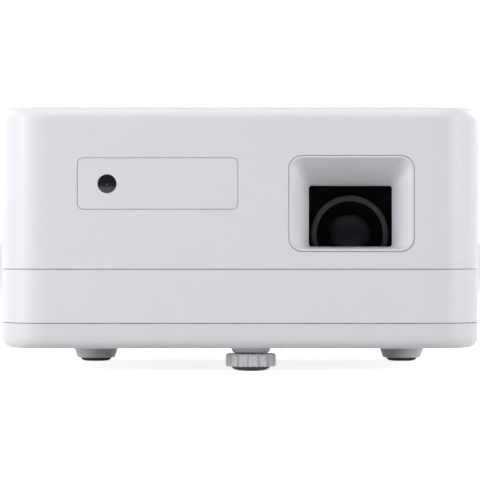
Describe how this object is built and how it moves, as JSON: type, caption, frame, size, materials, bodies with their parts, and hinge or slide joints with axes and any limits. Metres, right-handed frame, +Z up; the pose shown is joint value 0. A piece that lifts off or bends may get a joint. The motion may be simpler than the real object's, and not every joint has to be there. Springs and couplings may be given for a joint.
{
  "type": "projector with built-in disc player",
  "caption": "Table-top projector with a recessed lens hood, a disc drawer in its side, a screw front foot, top keys and a focus wheel.",
  "frame": {"origin": "on the table under the middle of the casing, at the bottom centre of the bounding box", "axes": "+X across the front to the viewer's right, +Y from the lens side to the socket side, +Z up from the table"},
  "size_m": [0.2338, 0.18, 0.128],
  "materials": {
    "white_shell": "satin moulded plastic, pale cool white",
    "pan_grey": "satin moulded plastic, pale grey",
    "grey_plastic": "satin moulded plastic, mid grey",
    "black_plastic": "fine-textured black plastic",
    "smoked_window": "polished smoked acrylic",
    "rubber": "matt black rubber",
    "optical_glass": "coated optical glass",
    "sheet_steel": "zinc-plated sheet",
    "aluminium": "machined and extruded",
    "brass": "turned",
    "circuit_board": "solder-masked laminate"
  },
  "bodies": {
    "casing": {"upper_housing": "white_shell", "deck_band": "white_shell", "base_pan": "pan_grey", "receiver_panel": "white_shell", "ir_window": "smoked_window", "lens_hood": "white_shell", "side_grilles": "white_shell", "band_louvre": "white_shell", "rear_panel": "black_plastic", "ac_inlet": "black_plastic", "hdmi_sockets": "sheet_steel", "usb_sockets": "sheet_steel", "av_jacks": "black_plastic", "control_panel": "black_plastic", "rear_feet": "pan_grey", "rear_foot_pads": "rubber", "front_foot_boss": "grey_plastic", "tripod_insert": "brass", "housing_screws": "sheet_steel", "engine_case": "black_plastic", "led_module": "aluminium", "heat_sink": "aluminium", "condenser_lens": "optical_glass", "fresnel_lenses": "optical_glass", "lcd_panel": "black_plastic", "lens_holder": "black_plastic", "fan_frame": "black_plastic", "main_board": "circuit_board", "power_board": "circuit_board", "key_board": "circuit_board", "speaker": "black_plastic", "drive_chassis": "sheet_steel", "drive_cover": "sheet_steel"},
    "front_foot": {"foot_pad": "rubber"},
    "foot_wheel": {"foot_wheel": "grey_plastic", "foot_screw": "sheet_steel"},
    "focus_wheel": {"focus_wheel": "black_plastic"},
    "focus_ring": {"focus_ring": "black_plastic"},
    "lens_tube": {"lens_tube": "black_plastic", "front_lens": "optical_glass", "rear_lens": "optical_glass"},
    "slide_rails": {"slide_rails": "sheet_steel"},
    "tray": {"disc_tray": "black_plastic", "tray_bezel": "white_shell", "traverse_frame": "sheet_steel", "guide_rods": "sheet_steel", "spindle_motor": "sheet_steel", "sled_motor": "sheet_steel"},
    "eject_button": {"eject_button": "grey_plastic"},
    "turntable": {"turntable": "black_plastic"},
    "lead_screw": {"lead_screw": "sheet_steel"},
    "pickup_sled": {"pickup_sled": "black_plastic"},
    "fan_rotor": {"fan_rotor": "black_plastic"},
    "power_key": {"power_key": "grey_plastic"},
    "source_key": {"source_key": "grey_plastic"},
    "ok_key": {"ok_key": "grey_plastic"},
    "up_key": {"up_key": "grey_plastic"},
    "down_key": {"down_key": "grey_plastic"},
    "left_key": {"left_key": "grey_plastic"},
    "right_key": {"right_key": "grey_plastic"}
  },
  "joints": [
    {"name": "foot_lift", "type": "slide", "parent": "casing", "child": "front_foot", "axis": [0, 0, -1], "range_m": [0, 0.012]},
    {"name": "foot_turn", "type": "hinge", "parent": "front_foot", "child": "foot_wheel", "pos_m": [0.0053, -0.068, 0.005], "axis": [0, 0, 1], "range_deg": [-0.5, 2880.5]},
    {"name": "focus_turn", "type": "hinge", "parent": "casing", "child": "focus_wheel", "pos_m": [0.054, -0.038, 0.1096], "axis": [0, 1, 0], "range_deg": [-78, 233]},
    {"name": "focus_ring_turn", "type": "hinge", "parent": "casing", "child": "focus_ring", "pos_m": [0.054, -0.052, 0.0666], "axis": [0, 1, 0], "range_deg": [-90.5, 30.5]},
    {"name": "lens_focus", "type": "slide", "parent": "casing", "child": "lens_tube", "axis": [0, -1, 0], "range_m": [-0.0045, 0.0015]},
    {"name": "tray_slide", "type": "slide", "parent": "casing", "child": "tray", "axis": [-1, 0, 0], "range_m": [0, 0.118]},
    {"name": "rail_slide", "type": "slide", "parent": "casing", "child": "slide_rails", "axis": [-1, 0, 0], "range_m": [0, 0.0595]},
    {"name": "eject_press", "type": "slide", "parent": "tray", "child": "eject_button", "axis": [1, 0, 0], "range_m": [0, 0.0006], "stiffness_N_per_m": 400},
    {"name": "disc_spin", "type": "hinge", "parent": "tray", "child": "turntable", "pos_m": [-0.0505, 0, 0.033], "axis": [0, 0, 1], "continuous": true},
    {"name": "lead_screw_turn", "type": "hinge", "parent": "tray", "child": "lead_screw", "pos_m": [-0.04414, -0.01994, 0.0306], "axis": [-0.7071, -0.7071, 0], "range_deg": [-0.5, 3720.5]},
    {"name": "sled_slide", "type": "slide", "parent": "tray", "child": "pickup_sled", "axis": [-0.7071, -0.7071, 0], "range_m": [0, 0.031]},
    {"name": "fan_spin", "type": "hinge", "parent": "casing", "child": "fan_rotor", "pos_m": [0.103, 0.032, 0.087], "axis": [1, 0, 0], "continuous": true},
    {"name": "power_press", "type": "slide", "parent": "casing", "child": "power_key", "axis": [0, 0, -1], "range_m": [0, 0.0005], "stiffness_N_per_m": 400},
    {"name": "source_press", "type": "slide", "parent": "casing", "child": "source_key", "axis": [0, 0, -1], "range_m": [0, 0.0005], "stiffness_N_per_m": 400},
    {"name": "ok_press", "type": "slide", "parent": "casing", "child": "ok_key", "axis": [0, 0, -1], "range_m": [0, 0.0005], "stiffness_N_per_m": 400},
    {"name": "up_press", "type": "slide", "parent": "casing", "child": "up_key", "axis": [0, 0, -1], "range_m": [0, 0.0005], "stiffness_N_per_m": 400},
    {"name": "down_press", "type": "slide", "parent": "casing", "child": "down_key", "axis": [0, 0, -1], "range_m": [0, 0.0005], "stiffness_N_per_m": 400},
    {"name": "left_press", "type": "slide", "parent": "casing", "child": "left_key", "axis": [0, 0, -1], "range_m": [0, 0.0005], "stiffness_N_per_m": 400},
    {"name": "right_press", "type": "slide", "parent": "casing", "child": "right_key", "axis": [0, 0, -1], "range_m": [0, 0.0005], "stiffness_N_per_m": 400}
  ],
  "couplings": [
    {"joint": "foot_turn", "follows": "foot_lift", "rad_per_m": 4188.8},
    {"joint": "focus_ring_turn", "follows": "lens_focus", "rad_per_m": 349.07},
    {"joint": "focus_turn", "follows": "lens_focus", "rad_per_m": -901.75},
    {"joint": "rail_slide", "follows": "tray_slide", "ratio": 0.5},
    {"joint": "lead_screw_turn", "follows": "sled_slide", "rad_per_m": 2094.4}
  ]
}
